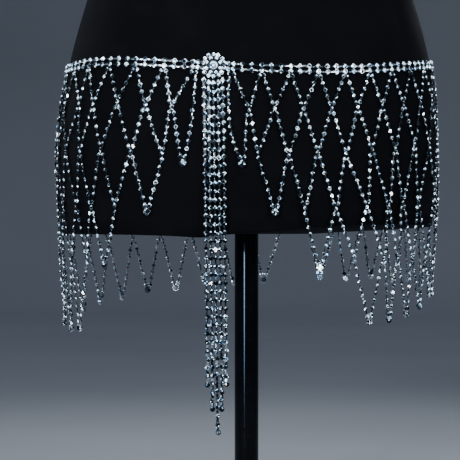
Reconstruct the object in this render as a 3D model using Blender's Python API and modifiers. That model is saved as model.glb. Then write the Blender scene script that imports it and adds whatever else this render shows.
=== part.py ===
"""A crystal waist chain with a net fringe, worn on a black hip form on a pole stand.

Metres, +Z up. The form's front faces -Y and the origin is the middle of the base's
underside. The chain is laid out flat first, by how far a point lies along the girth from
the rosette and how far it drops below the belt, and is then wrapped round the form.
"""

import math

import bmesh
import bpy
import numpy as np
from mathutils import Vector

# Heights of the whole piece
FORM_BOTTOM = 0.247
FORM_HEIGHT = 0.292
GIRTH_LEVEL = 0.396

# Form: height above its bottom, half width, depth in front of the axis and behind it,
# and how far its middle lies to +X
FORM_ROWS = (
    (0.000, 0.1695, 0.1220, 0.1220, 0.0025),
    (0.050, 0.1736, 0.1250, 0.1290, 0.0025),
    (0.092, 0.1730, 0.1245, 0.1265, 0.0030),
    (0.149, 0.1667, 0.1190, 0.1050, 0.0050),
    (0.211, 0.1507, 0.1050, 0.0950, 0.0060),
    (0.262, 0.1340, 0.0950, 0.0870, 0.0060),
    (0.292, 0.1280, 0.0920, 0.0850, 0.0060),
)
FULLNESS = 2.25
FORM_SIDES = 48
FORM_RING_STEP = 0.022
FORM_TOP_ROUND = 0.012

# Stand
POLE_RADIUS = 0.0108
SOCKET_GAP = 0.0003
FORM_SOCKET_DEPTH = 0.030
BASE_RADIUS = 0.140
BASE_THICKNESS = 0.008
BASE_EDGE = 0.003
BOSS_RADIUS = 0.020
BOSS_HEIGHT = 0.022
BASE_SOCKET_FLOOR = 0.005

# How the chain hangs: degrees from the front towards +X, height of the belt's middle, and
# the net's length there as a share of its full length
HANG_ROWS = (
    (-180, 0.4060, 0.925),
    (-150, 0.4010, 0.940),
    (-120, 0.3940, 0.970),
    (-90, 0.3905, 1.000),
    (-70, 0.3930, 1.020),
    (-45, 0.3890, 1.000),
    (-27, 0.3878, 0.990),
    (0, 0.3862, 0.980),
    (26, 0.3886, 0.965),
    (45, 0.3930, 0.950),
    (72, 0.4010, 0.925),
    (110, 0.4060, 0.900),
    (150, 0.4080, 0.925),
    (180, 0.4060, 0.925),
)

# Below its widest ring the net hangs free: height above the form's bottom, and sizes as above
FREE_HANG_FROM = 0.050
FREE_ROWS = (
    (-0.200, 0.1600, 0.1190, 0.1220, 0.0015),
    (-0.085, 0.1650, 0.1220, 0.1260, 0.0020),
    (0.000, 0.1720, 0.1250, 0.1290, 0.0030),
    (0.050, 0.1743, 0.1255, 0.1295, 0.0030),
)

# Chain
SEAM = 0.0003
ON_FORM = 0.0005
ON_FORM_SIZES = np.array((ON_FORM, ON_FORM, ON_FORM, 0.0))
CUP_WIDTH = 0.0038
CHAIN_THICKNESS = 0.0022
BELT_THICKNESS = 0.0026
BELT_ROW_GAP = 0.0012
BELT_STATION = 0.012
BAR_THICKNESS = 0.0034

# Net: cells along the girth, from the side of the rosette to the clasp
CELLS = 17
FIRST_APEX = 0.0155
CLASP_HALF_GAP = 0.0085
APEX_DROP = (0.0044, 0.0085)
JOINT_HALF_HEIGHT = 0.0068
JOINT_WAIST = 0.62
TIP_SHOULDER = 0.001
TIP_HALF_HEIGHT = 0.0062
UNEVEN = 0.0011
# Drop of each row of joints, the column of its hanging tip, and its first joint's column.
# A row of joints is named by its number from the belt, and a column by its apex, with the
# joints of odd rows at half columns.
NET_ROWS = (
    (0.0345, None, 1.5),
    (0.0735, 1.0, 2.0),
    (0.1200, 2.5, 3.5),
    (0.1685, 4.0, 5.0),
    (0.2215, None, 5.5),
)
# Joints that hang away from their even place: side, row, column, shift along and drop
STRAY_JOINTS = (
    (1, 3, 4.5, 0.0025, 0.002),
    (1, 3, 5.5, 0.0070, 0.003),
    (1, 3, 6.5, 0.0050, 0.006),
    (1, 3, 7.5, -0.0030, 0.004),
    (1, 3, 8.5, -0.0060, 0.007),
    (1, 4, 4.0, 0.0010, 0.001),
    (1, 4, 5.0, 0.0080, -0.003),
    (1, 4, 6.0, 0.0135, 0.003),
    (1, 4, 7.0, 0.0055, 0.007),
    (1, 4, 8.0, 0.0000, 0.011),
    (1, 4, 9.0, -0.0010, 0.014),
    (1, 5, 5.5, 0.0135, 0.002),
    (1, 5, 6.5, 0.0110, 0.005),
    (1, 5, 7.5, 0.0085, 0.005),
    (1, 5, 8.5, 0.0055, 0.003),
    (1, 5, 9.5, 0.0030, -0.003),
    (-1, 1, 5.5, -0.0050, -0.001),
    (-1, 2, 2.0, -0.0030, 0.002),
    (-1, 2, 3.0, -0.0020, 0.001),
    (-1, 3, 2.5, -0.0025, 0.001),
    (-1, 3, 5.5, -0.0040, 0.000),
    (-1, 4, 4.0, 0.0005, -0.003),
    (-1, 4, 5.0, -0.0030, -0.006),
    (-1, 5, 5.5, 0.0030, -0.001),
)
FIRST_TIP_SHIFT = 0.30
# The chain beside the tassel runs past one row of joints, straight down to the first tip
LONG_STRAND = ((0, 1.0), (2, 1.0))
LONG_STRAND_STEPS = 4

# Rosette, tassel and clasp; the rosette is worn on the side of the front
ROSETTE_ALONG = -0.075
ROSETTE_RADIUS = 0.0106
ROSETTE_PLATE = 0.0014
ROSETTE_PETALS = 8
PETAL_CIRCLE = 0.0062
PETAL_RADIUS = 0.0017
PETAL_HEIGHT = 0.0020
RIM_CIRCLE = 0.0092
RIM_RADIUS = 0.0011
CENTRE_RADIUS = 0.0040
CENTRE_HEIGHT = 0.0042
TASSEL_SPACING = 0.0039
TASSEL_STRAND = 0.0033
TASSEL_HEAD_ARC = 0.0126
TASSEL_TIP_HEIGHTS = (0.1200, 0.1000, 0.0800, 0.1000, 0.1200)
TASSEL_SWAY = 0.0035
TASSEL_BENDS = (0.349, 0.317, 0.247)
SPOT_REACH = 0.3
SIDE_LINK = (0.0112, 0.0186)
BELT_END_LENGTH = 0.0020
CLASP_STAND_OFF = 0.0035
CLASP_RING = (0.0024, 0.0006)
CLASP_WIRE = 0.0006
CLASP_CLAW_HEIGHT = 0.0027


def through_rows(rows, height):
    """A table's sizes at a height, on a smooth curve through its rows."""
    heights = [row[0] for row in rows]
    height = min(max(height, heights[0]), heights[-1])
    low = min(max(np.searchsorted(heights, height) - 1, 0), len(rows) - 2)
    table = np.array(rows)
    slopes = np.gradient(table[:, 1:], table[:, 0], axis=0)
    span = heights[low + 1] - heights[low]
    t = (height - heights[low]) / span
    start, end = table[low, 1:], table[low + 1, 1:]
    return (
        start * (2 * t**3 - 3 * t**2 + 1)
        + slopes[low] * span * (t**3 - 2 * t**2 + t)
        + end * (3 * t**2 - 2 * t**3)
        + slopes[low + 1] * span * (t**3 - t**2)
    )


def outline(angle, sizes, out=0.0):
    """A point of the rounded section. Angle 0 is the front, and it grows towards +X."""
    half_width, front, back = sizes[:3] + out
    depth = front if math.cos(angle) > 0 else back
    across = abs(math.sin(angle)) / half_width
    along = abs(math.cos(angle)) / depth
    radius = (across**FULLNESS + along**FULLNESS) ** (-1 / FULLNESS)
    return radius * math.sin(angle) + sizes[3], -radius * math.cos(angle)


def girth_table(steps=1440):
    """Angles all round, and how far along the girth from the middle of the front each lies."""
    angles = np.linspace(-math.pi, math.pi, steps + 1)
    sizes = through_rows(FORM_ROWS, GIRTH_LEVEL - FORM_BOTTOM)
    points = np.array([outline(a, sizes, ON_FORM) for a in angles])
    lengths = np.concatenate([[0], np.cumsum(np.hypot(*np.diff(points, axis=0).T))])
    return angles, lengths - lengths[steps // 2]


GIRTH_ANGLES, GIRTH_LENGTHS = girth_table()
HALF_GIRTH = float(GIRTH_LENGTHS[-1] - GIRTH_LENGTHS[0]) / 2
BELT_END = HALF_GIRTH - CLASP_HALF_GAP
CELL = (HALF_GIRTH - FIRST_APEX) / (CELLS + 0.5)


def angle_along(along):
    """The angle round the form of a place along the chain, counted from the rosette."""
    around = along + ROSETTE_ALONG - GIRTH_LENGTHS[0]
    around = around % (2 * HALF_GIRTH) + GIRTH_LENGTHS[0]
    return float(np.interp(around, GIRTH_LENGTHS, GIRTH_ANGLES))


def hang(angle):
    """The height of the belt's middle at an angle, and the net's share of its length there."""
    return through_rows(HANG_ROWS, math.degrees(angle))


def drape_sizes(height):
    """Section of the surface that the chain's back lies on, touching the form or hanging free."""
    above = height - FORM_BOTTOM
    if above >= FREE_HANG_FROM:
        return through_rows(FORM_ROWS, above) + ON_FORM_SIZES
    return through_rows(FREE_ROWS, above)


def place(along, drop, out=0.0):
    """The point of the worn chain for a place in its flat layout, out from the form."""
    angle = angle_along(along)
    belt, share = hang(angle)
    height = belt - drop * share
    x, y = outline(angle, drape_sizes(height), out)
    return Vector((x, y, height))


def facing_at(along):
    """The turn about Z of a piece that lies flat on the belt at a place along the chain."""
    before, after = place(along - BELT_STATION / 4, 0), place(along + BELT_STATION / 4, 0)
    return math.atan2(after.y - before.y, after.x - before.x)


class Spot:
    """A flat working plane on the form at one place along the chain, upright and facing out."""

    def __init__(self, along):
        self.turn = facing_at(along)
        self.angle = angle_along(along)
        self.level = float(hang(self.angle)[0])
        self.tangent = Vector((math.cos(self.turn), math.sin(self.turn), 0))
        self.outward = Vector((math.sin(self.turn), -math.cos(self.turn), 0))
        self.beside = place(along, 0).dot(self.tangent)

    def reach(self, across, height):
        """How far out the chain's back lies, beside the spot's middle, at a height."""
        sizes = drape_sizes(height)
        angles = np.linspace(self.angle - SPOT_REACH, self.angle + SPOT_REACH, 13)
        points = [Vector((*outline(a, sizes), 0)) for a in angles]
        sideways = [p.dot(self.tangent) - self.beside for p in points]
        return float(np.interp(across, sideways, [p.dot(self.outward) for p in points]))

    def point(self, across, depth, height):
        flat = self.tangent * (self.beside + across) + self.outward * depth
        return Vector((flat.x, flat.y, height))

    def rotation(self):
        """Turns a piece that was made facing up so that it faces out."""
        return (math.radians(90), 0, self.turn)


def material(name, colour, roughness, metallic=0.0):
    made = bpy.data.materials.new(name)
    made.use_nodes = True
    shader = made.node_tree.nodes["Principled BSDF"]
    shader.inputs["Base Color"].default_value = (*colour, 1)
    shader.inputs["Roughness"].default_value = roughness
    shader.inputs["Metallic"].default_value = metallic
    made.diffuse_color = (*colour, 1)
    return made


def add_object(name, mesh, collection, finish):
    obj = bpy.data.objects.new(name, mesh)
    collection.objects.link(obj)
    mesh.materials.append(finish)
    return obj


def keep_active(name, collection, finish):
    """Names the object that an operator has just made, and moves it to the collection."""
    obj = bpy.context.object
    obj.name = name
    for holder in list(obj.users_collection):
        holder.objects.unlink(obj)
    collection.objects.link(obj)
    obj.data.materials.append(finish)
    return obj


def thicken(obj, thickness):
    shell = obj.modifiers.new("wall", "SOLIDIFY")
    shell.thickness = thickness
    shell.offset = 1


def strip(name, along, drops, thickness, collection, finish):
    """A band that follows the girth from one place along it to another."""
    start, end = min(along), max(along)
    steps = max(1, round((end - start) / BELT_STATION))
    places = [start + (end - start) * i / steps for i in range(steps + 1)]
    bm = bmesh.new()
    lower = [bm.verts.new(place(s, max(drops))) for s in places]
    upper = [bm.verts.new(place(s, min(drops))) for s in places]
    for i in range(steps):
        bm.faces.new((lower[i], lower[i + 1], upper[i + 1], upper[i]))
    mesh = bpy.data.meshes.new(name)
    bm.to_mesh(mesh)
    bm.free()
    thicken(add_object(name, mesh, collection, finish), thickness)


def unevenness(row, column, side):
    """The shift of a joint from its even place, as hand-hung chain has, along and down."""
    for stray_side, stray_row, stray_column, along, drop in STRAY_JOINTS:
        if (stray_side, stray_row, stray_column) == (side, row, column):
            return along, drop
    phase = 12.9 * column + 7.3 * row + 2.1 * side
    return UNEVEN * math.sin(phase), UNEVEN * math.cos(1.7 * phase)


def net_joints(side):
    """Every joint of one half of the net: its kind, place along the girth and drop."""
    joints = {}
    for apex in range(1, CELLS + 2):
        joints[0, float(apex)] = ("apex", apex, APEX_DROP[0])
    last_row = len(NET_ROWS)
    for row, (drop, tip, first) in enumerate(NET_ROWS, start=1):
        last = CELLS + 1 if row % 2 == 0 else CELLS + 0.5
        column = first
        while column <= last:
            joints[row, column] = ("tip" if row == last_row else "joint", column, drop)
            column += 1
        if tip is not None:
            shift = FIRST_TIP_SHIFT if tip == 1 else 0
            joints[row, tip] = ("tip", tip + shift, drop)
    placed = {}
    for (row, column), (kind, across, drop) in joints.items():
        shift, sink = unevenness(row, column, side) if row else (0, 0)
        placed[row, column] = (kind, FIRST_APEX + (across - 1) * CELL + shift, drop + sink)
    return placed


def net_strands(joints):
    """Pairs of joints that a strand connects, upper one first, with the side it leaves by."""
    strands = [(*LONG_STRAND, "front")]
    for (row, column), (kind, _, _) in joints.items():
        if kind == "tip":
            continue
        for name, step in (("front", -0.5), ("back", 0.5)):
            below = (row + 1, column + step)
            if below in joints:
                strands.append(((row, column), below, name))
    return strands


def net(name, side, collection, finish):
    """Half of the net fringe: one open-work wall of strands, joints and hanging tips."""
    joints = net_joints(side)
    strands = net_strands(joints)
    leaving = {key: [] for key in joints}
    arriving = {key: [] for key in joints}
    for upper, lower, edge in strands:
        leaving[upper].append(edge)
        arriving[lower].append("back" if edge == "front" else "front")
    arriving[LONG_STRAND[1]] = ["front", "back"]
    bm = bmesh.new()
    corners = {}

    def corner(key, row_of_corners, across, drop):
        """A shared corner of a joint; across is from its middle, towards the back."""
        label = (key, row_of_corners, round(across * 1e6))
        if label not in corners:
            middle = joints[key][1]
            corners[label] = bm.verts.new(place(side * (middle + across), drop))
        return corners[label]

    def edge_corners(key, row_of_corners, sides, drop):
        """The corners of a joint's upper or lower edge, front one first."""
        if len(sides) == 2:
            offsets = (-CUP_WIDTH, 0.0, CUP_WIDTH)
        else:
            offsets = (-CUP_WIDTH / 2, CUP_WIDTH / 2)
        return [corner(key, row_of_corners, offset, drop) for offset in offsets]

    def face(points):
        bm.faces.new(points if side > 0 else points[::-1])

    def end_of(line, edge):
        if len(line) == 2:
            return line
        return line[:2] if edge == "front" else line[1:]

    upper_line = {}
    lower_line = {}
    for key, (kind, _, drop) in joints.items():
        if kind == "apex":
            top = [corner(key, "top", x, APEX_DROP[0]) for x in (-CUP_WIDTH, CUP_WIDTH)]
            low = edge_corners(key, "low", leaving[key], APEX_DROP[1])
            face(low + top[::-1])
            lower_line[key] = low
            continue
        top = edge_corners(key, "top", arriving[key], drop - JOINT_HALF_HEIGHT)
        upper_line[key] = top
        if kind == "tip":
            sides = [
                corner(key, "side", x, drop + TIP_SHOULDER) for x in (-CUP_WIDTH, CUP_WIDTH)
            ]
            foot = drop + TIP_HALF_HEIGHT
            low = [corner(key, "foot", x, foot) for x in (-CUP_WIDTH / 2, CUP_WIDTH / 2)]
            face([sides[0], *low, sides[1], *top[::-1]])
            continue
        reach = CUP_WIDTH * JOINT_WAIST
        waist = [corner(key, "waist", x, drop) for x in (-reach, reach)]
        low = edge_corners(key, "low", leaving[key], drop + JOINT_HALF_HEIGHT)
        lower_line[key] = low
        face(waist + top[::-1])
        face(low + waist[::-1])

    for upper, lower, edge in strands:
        start = end_of(lower_line[upper], edge)
        other = "back" if edge == "front" else "front"
        steps = 2 if upper[0] < 3 else 1
        if (upper, lower) == LONG_STRAND:
            other = "front"
            steps = LONG_STRAND_STEPS
        end = end_of(upper_line[lower], other)
        top_drop = APEX_DROP[1] if upper[0] == 0 else joints[upper][2] + JOINT_HALF_HEIGHT
        foot_drop = joints[lower][2] - JOINT_HALF_HEIGHT
        start_along = joints[upper][1] + strand_offset(leaving[upper], edge)
        end_along = joints[lower][1] + strand_offset(arriving[lower], other)
        before = start
        for i in range(1, steps):
            share = i / steps
            middle = start_along + (end_along - start_along) * bend(share, steps)
            drop = top_drop + (foot_drop - top_drop) * share
            here = [
                bm.verts.new(place(side * (middle + x), drop))
                for x in (-CUP_WIDTH / 2, CUP_WIDTH / 2)
            ]
            face([here[0], here[1], before[1], before[0]])
            before = here
        face([end[0], end[1], before[1], before[0]])

    mesh = bpy.data.meshes.new(name)
    bm.to_mesh(mesh)
    bm.free()
    thicken(add_object(name, mesh, collection, finish), CHAIN_THICKNESS)


def strand_offset(sides, edge):
    """How far from a joint's middle a strand's own middle lies."""
    if len(sides) < 2:
        return 0.0
    return -CUP_WIDTH / 2 if edge == "front" else CUP_WIDTH / 2


def bend(share, steps):
    """The long strand beside the tassel falls straight first, then swings to its tip."""
    return share**2 if steps == LONG_STRAND_STEPS else share


def form_torso(collection, finish):
    """The hip form: rounded sections from the socket in its underside to its flat top."""
    rings = []
    socket = POLE_RADIUS + SOCKET_GAP
    turn = [2 * math.pi * i / FORM_SIDES for i in range(FORM_SIDES)]
    for height in (FORM_BOTTOM + FORM_SOCKET_DEPTH, FORM_BOTTOM):
        rings.append([(socket * math.sin(a), -socket * math.cos(a), height) for a in turn])
    body = FORM_HEIGHT - FORM_TOP_ROUND
    steps = round(body / FORM_RING_STEP)
    levels = [(body * i / steps, 0.0) for i in range(steps + 1)]
    for i in range(1, 4):
        quarter = math.radians(30 * i)
        levels.append((
            body + FORM_TOP_ROUND * math.sin(quarter),
            FORM_TOP_ROUND * (1 - math.cos(quarter)),
        ))
    for above, inset in levels:
        sizes = through_rows(FORM_ROWS, above)
        rings.append([(*outline(a, sizes, -inset), FORM_BOTTOM + above) for a in turn])
    bm = bmesh.new()
    made = [[bm.verts.new(p) for p in ring] for ring in rings]
    for lower, upper in zip(made, made[1:]):
        for i in range(FORM_SIDES):
            j = (i + 1) % FORM_SIDES
            bm.faces.new((lower[i], lower[j], upper[j], upper[i]))
    bm.faces.new(made[0][::-1])
    bm.faces.new(made[-1])
    bmesh.ops.recalc_face_normals(bm, faces=bm.faces)
    mesh = bpy.data.meshes.new("form_torso")
    bm.to_mesh(mesh)
    bm.free()
    mesh.shade_smooth()
    mesh.set_sharp_from_angle(angle=math.radians(40))
    add_object("form_torso", mesh, collection, finish)


def turned(name, profile, steps, collection, finish):
    """A profile of radius and height, given from the top down, turned about the Z axis."""
    mesh = bpy.data.meshes.new(name)
    points = [(radius, 0, height) for radius, height in profile]
    mesh.from_pydata(points, [(i, i + 1) for i in range(len(points) - 1)], [])
    obj = add_object(name, mesh, collection, finish)
    screw = obj.modifiers.new("turn", "SCREW")
    screw.steps = screw.render_steps = steps
    screw.use_merge_vertices = True
    screw.merge_threshold = 0.00001
    screw.use_smooth_shade = True


def stand(collection, finish):
    socket = POLE_RADIUS + SOCKET_GAP
    turned(
        "stand_base",
        (
            (0, BASE_SOCKET_FLOOR),
            (socket, BASE_SOCKET_FLOOR),
            (socket, BOSS_HEIGHT),
            (BOSS_RADIUS - BASE_EDGE, BOSS_HEIGHT),
            (BOSS_RADIUS, BOSS_HEIGHT - BASE_EDGE),
            (BOSS_RADIUS, BASE_THICKNESS),
            (BASE_RADIUS - BASE_EDGE, BASE_THICKNESS),
            (BASE_RADIUS, BASE_THICKNESS - BASE_EDGE),
            (BASE_RADIUS, 0),
            (0, 0),
        ),
        56,
        collection,
        finish,
    )
    foot = BASE_SOCKET_FLOOR + SOCKET_GAP
    head = FORM_BOTTOM + FORM_SOCKET_DEPTH - SOCKET_GAP
    bpy.ops.mesh.primitive_cylinder_add(
        vertices=36,
        radius=POLE_RADIUS,
        depth=head - foot,
        location=(0, 0, (head + foot) / 2),
    )
    pole = keep_active("stand_pole", collection, finish)
    pole.data.shade_smooth()
    pole.data.set_sharp_from_angle(angle=math.radians(40))


def facing(name, vertices, radii, height, spot, centre, collection, finish):
    """A round stone or plate that faces out from its spot, its back at the centre given."""
    bpy.ops.mesh.primitive_cone_add(
        vertices=vertices,
        radius1=radii[0],
        radius2=radii[1],
        depth=height,
        location=centre + spot.outward * (height / 2),
        rotation=spot.rotation(),
    )
    keep_active(name, collection, finish)


def rosette(spot, collection, metal, crystal):
    """The round brooch at the front: plate, beaded rim, ring of small stones, large stone."""
    edges = ((0, 0), (1, 0), (-1, 0), (0, 1), (0, -1))
    depth = max(
        spot.reach(x * ROSETTE_RADIUS, spot.level + z * ROSETTE_RADIUS) for x, z in edges
    )
    facing(
        "rosette_plate", 40, (ROSETTE_RADIUS, ROSETTE_RADIUS - 0.0004),
        ROSETTE_PLATE, spot, spot.point(0, depth, spot.level), collection, metal,
    )
    depth += ROSETTE_PLATE + SEAM
    front = spot.point(0, depth, spot.level)
    bpy.ops.mesh.primitive_torus_add(
        major_segments=32,
        minor_segments=6,
        major_radius=RIM_CIRCLE,
        minor_radius=RIM_RADIUS,
        location=front + spot.outward * RIM_RADIUS,
        rotation=spot.rotation(),
    )
    keep_active("rosette_rim", collection, metal)
    for i in range(ROSETTE_PETALS):
        turn = 2 * math.pi * (i + 0.5) / ROSETTE_PETALS
        across = PETAL_CIRCLE * math.sin(turn)
        height = spot.level + PETAL_CIRCLE * math.cos(turn)
        facing(
            f"rosette_stone_{i + 1}", 10, (PETAL_RADIUS, PETAL_RADIUS * 0.55),
            PETAL_HEIGHT, spot, spot.point(across, depth, height), collection, crystal,
        )
    facing(
        "rosette_center", 16, (CENTRE_RADIUS, CENTRE_RADIUS * 0.6),
        CENTRE_HEIGHT, spot, front, collection, crystal,
    )


def tassel_depth(spot, across, height):
    """How far out the tassel's back hangs: on the form, then straight down from its fullest."""
    levels = np.linspace(max(height, FORM_BOTTOM), spot.level - TASSEL_HEAD_ARC, 12)
    return max(spot.reach(across, level) for level in levels)


def tassel(spot, collection, finish):
    """Five strands of chain on a curved head under the rosette."""
    bm = bmesh.new()

    top = spot.level - TASSEL_HEAD_ARC - CUP_WIDTH
    lowest = min(TASSEL_TIP_HEIGHTS)

    def corner(across, height):
        """The strands lean to one side as they fall."""
        sway = TASSEL_SWAY * max(0, top - height) / (top - lowest)
        depth = tassel_depth(spot, across, height)
        return bm.verts.new(spot.point(across + sway, depth, height))

    heads = []
    for i in range(len(TASSEL_TIP_HEIGHTS)):
        middle = (i - 2) * TASSEL_SPACING
        edges = (middle - TASSEL_STRAND / 2, middle + TASSEL_STRAND / 2)
        arcs = [spot.level - math.sqrt(TASSEL_HEAD_ARC**2 - x**2) for x in edges]
        upper = [corner(x, arc) for x, arc in zip(edges, arcs)]
        lower = [corner(x, arc - CUP_WIDTH) for x, arc in zip(edges, arcs)]
        heads.append((edges, upper, lower))
        bm.faces.new((lower[0], lower[1], upper[1], upper[0]))
    for (_, upper, lower), (_, next_upper, next_lower) in zip(heads, heads[1:]):
        bm.faces.new((lower[1], next_lower[0], next_upper[0], upper[1]))
    for (edges, _, before), tip in zip(heads, TASSEL_TIP_HEIGHTS):
        for height in (*TASSEL_BENDS, tip):
            here = [corner(x, height) for x in edges]
            bm.faces.new((here[0], here[1], before[1], before[0]))
            before = here
    mesh = bpy.data.meshes.new("tassel")
    bm.to_mesh(mesh)
    bm.free()
    thicken(add_object("tassel", mesh, collection, finish), CHAIN_THICKNESS)


def clasp(spot, collection, finish):
    """The back fastening: a wire claw hooked into a ring, each by its end of the belt."""
    face = CLASP_HALF_GAP - BELT_END_LENGTH - SEAM
    radius, wire = CLASP_RING
    middle = face - radius - wire
    depth = spot.reach(0, spot.level) + CLASP_STAND_OFF
    bpy.ops.mesh.primitive_torus_add(
        major_segments=24,
        minor_segments=6,
        major_radius=radius,
        minor_radius=wire,
        location=spot.point(middle, depth, spot.level),
        rotation=(0, 0, spot.turn),
    )
    keep_active("clasp_ring", collection, finish)
    near = middle - radius + wire + CLASP_WIRE + 2 * SEAM
    far = -face + CLASP_WIRE
    curve = bpy.data.curves.new("clasp_claw", "CURVE")
    curve.dimensions = "3D"
    curve.bevel_depth = CLASP_WIRE
    curve.bevel_resolution = 1
    spline = curve.splines.new("POLY")
    count = 24
    spline.points.add(count - 1)
    spline.use_cyclic_u = True
    for i, point in enumerate(spline.points):
        turn = 2 * math.pi * i / count
        across = (near + far) / 2 + (near - far) / 2 * math.cos(turn)
        height = spot.level + CLASP_CLAW_HEIGHT * math.sin(turn)
        point.co = (*spot.point(across, depth, height), 1)
    obj = bpy.data.objects.new("clasp_claw", curve)
    curve.materials.append(finish)
    collection.objects.link(obj)


def main():
    for obj in list(bpy.data.objects):
        bpy.data.objects.remove(obj)
    parts = bpy.data.collections.new("crystal_waist_chain")
    bpy.context.scene.collection.children.link(parts)
    cover = material("form_black", (0.012, 0.013, 0.018), 0.75)
    enamel = material("stand_black", (0.008, 0.009, 0.012), 0.12)
    silver = material("silver_setting", (0.82, 0.84, 0.88), 0.2, 1.0)
    crystal = material("crystal", (0.88, 0.92, 0.98), 0.05, 0.6)

    form_torso(parts, cover)
    stand(parts, enamel)
    row = CUP_WIDTH + BELT_ROW_GAP / 2
    for name, side in (("right", 1), ("left", -1)):
        span = (side * (SIDE_LINK[1] + SEAM), side * (BELT_END - SEAM))
        upper = (-row, -BELT_ROW_GAP / 2)
        lower = (BELT_ROW_GAP / 2, row - SEAM)
        strip(f"belt_upper_{name}", span, upper, BELT_THICKNESS, parts, silver)
        strip(f"belt_lower_{name}", span, lower, BELT_THICKNESS, parts, silver)
        link = (side * SIDE_LINK[0], side * SIDE_LINK[1])
        strip(f"side_link_{name}", link, (-row, row - SEAM), BAR_THICKNESS, parts, silver)
        end = (side * BELT_END, side * (BELT_END + BELT_END_LENGTH))
        strip(f"belt_end_{name}", end, (-row, row - SEAM), BAR_THICKNESS, parts, silver)
        net(f"net_{name}", side, parts, silver)
    front = Spot(0)
    rosette(front, parts, silver, crystal)
    tassel(front, parts, silver)
    clasp(Spot(HALF_GIRTH), parts, silver)


main()
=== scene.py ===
# The looks of a crystal waist chain on its form: every stone, cup and link of the chain is
# modelled once and copied along the same layout as the solids. Metres, +Z up, front to -Y.

import math

import bmesh
import bpy
import numpy as np
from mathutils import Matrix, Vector


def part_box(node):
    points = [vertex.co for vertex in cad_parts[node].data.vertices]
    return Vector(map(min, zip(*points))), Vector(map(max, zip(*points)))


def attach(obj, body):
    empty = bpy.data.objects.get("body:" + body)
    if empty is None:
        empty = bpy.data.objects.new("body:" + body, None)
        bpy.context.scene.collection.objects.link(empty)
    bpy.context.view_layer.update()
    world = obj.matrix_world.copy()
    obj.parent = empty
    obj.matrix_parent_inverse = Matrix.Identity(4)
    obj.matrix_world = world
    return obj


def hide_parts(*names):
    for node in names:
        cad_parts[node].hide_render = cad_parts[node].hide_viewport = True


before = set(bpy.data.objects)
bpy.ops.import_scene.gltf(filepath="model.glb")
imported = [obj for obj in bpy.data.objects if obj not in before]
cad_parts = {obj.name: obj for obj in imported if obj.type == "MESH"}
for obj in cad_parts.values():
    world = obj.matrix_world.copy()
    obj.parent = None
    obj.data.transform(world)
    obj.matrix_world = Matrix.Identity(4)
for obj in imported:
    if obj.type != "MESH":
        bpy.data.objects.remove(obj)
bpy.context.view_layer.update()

# Form and drape, as in the solids: height above the form's bottom, half width, depth in
# front of the axis and behind it, and how far its middle lies to +X
FORM_BOTTOM = 0.247
GIRTH_LEVEL = 0.396
FORM_ROWS = (
    (0.000, 0.1695, 0.1220, 0.1220, 0.0025),
    (0.050, 0.1736, 0.1250, 0.1290, 0.0025),
    (0.092, 0.1730, 0.1245, 0.1265, 0.0030),
    (0.149, 0.1667, 0.1190, 0.1050, 0.0050),
    (0.211, 0.1507, 0.1050, 0.0950, 0.0060),
    (0.262, 0.1340, 0.0950, 0.0870, 0.0060),
    (0.292, 0.1280, 0.0920, 0.0850, 0.0060),
)
FULLNESS = 2.25
# Degrees from the front towards +X, height of the belt's middle, share of the net's length
HANG_ROWS = (
    (-180, 0.4060, 0.925), (-150, 0.4010, 0.940), (-120, 0.3965, 0.985), (-90, 0.3922, 1.010),
    (-70, 0.3930, 1.020), (-45, 0.3890, 1.000), (-27, 0.3868, 0.985), (0, 0.3862, 0.980),
    (26, 0.3886, 0.965), (45, 0.3930, 0.950), (72, 0.4010, 0.925), (110, 0.4060, 0.900),
    (150, 0.4080, 0.925), (180, 0.4060, 0.925),
)
FORM_HEIGHT = 0.292
FORM_SIDES = 144
FORM_RING_STEP = 0.012
FORM_TOP_ROUND = 0.012
# Hem of the cover: height above the form's bottom, and how far it stands out there
HEM = ((0.0006, -0.0004), (0.0018, 0.0002), (0.0125, 0.0002), (0.0132, 0.0))
HEM_ROLL = 0.0012
# How far the cover's lower edge stands above the form's bottom, by degrees from the front
HEM_ROWS = (
    (-180, 0.0000), (-90, 0.0000), (-58, -0.0007), (-46, -0.0016), (-38, -0.0028),
    (-27, 0.0000), (-14, 0.0020), (0, 0.0044), (12, 0.0066), (40, 0.0080), (75, 0.0065),
    (115, 0.0030), (180, 0.0000),
)
HEM_FADE = 0.06
FREE_HANG_FROM = 0.050
FREE_ROWS = (
    (-0.200, 0.1600, 0.1190, 0.1220, 0.0015),
    (-0.085, 0.1650, 0.1220, 0.1260, 0.0020),
    (0.000, 0.1720, 0.1250, 0.1290, 0.0030),
    (0.050, 0.1743, 0.1255, 0.1295, 0.0030),
)

# Stand, as in the solids
POLE_RADIUS = 0.0108
SOCKET_GAP = 0.0003
FORM_SOCKET_DEPTH = 0.030
BASE_RADIUS = 0.140
BASE_THICKNESS = 0.008
BASE_EDGE = 0.003
BASE_RING = 0.002
BOSS_RADIUS = 0.020
BOSS_HEIGHT = 0.022
BASE_SOCKET_FLOOR = 0.005

# Chain, as in the solids
ON_FORM = 0.0005
ON_FORM_SIZES = np.array((ON_FORM, ON_FORM, ON_FORM, 0.0))
CUP_WIDTH = 0.0038
CELLS = 17
FIRST_APEX = 0.0155
CLASP_HALF_GAP = 0.0085
UNEVEN = 0.0011
NET_ROWS = (
    (0.0345, None, 1.5),
    (0.0735, 1.0, 2.0),
    (0.1200, 2.5, 3.5),
    (0.1685, 4.0, 5.0),
    (0.2215, None, 5.5),
)
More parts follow.
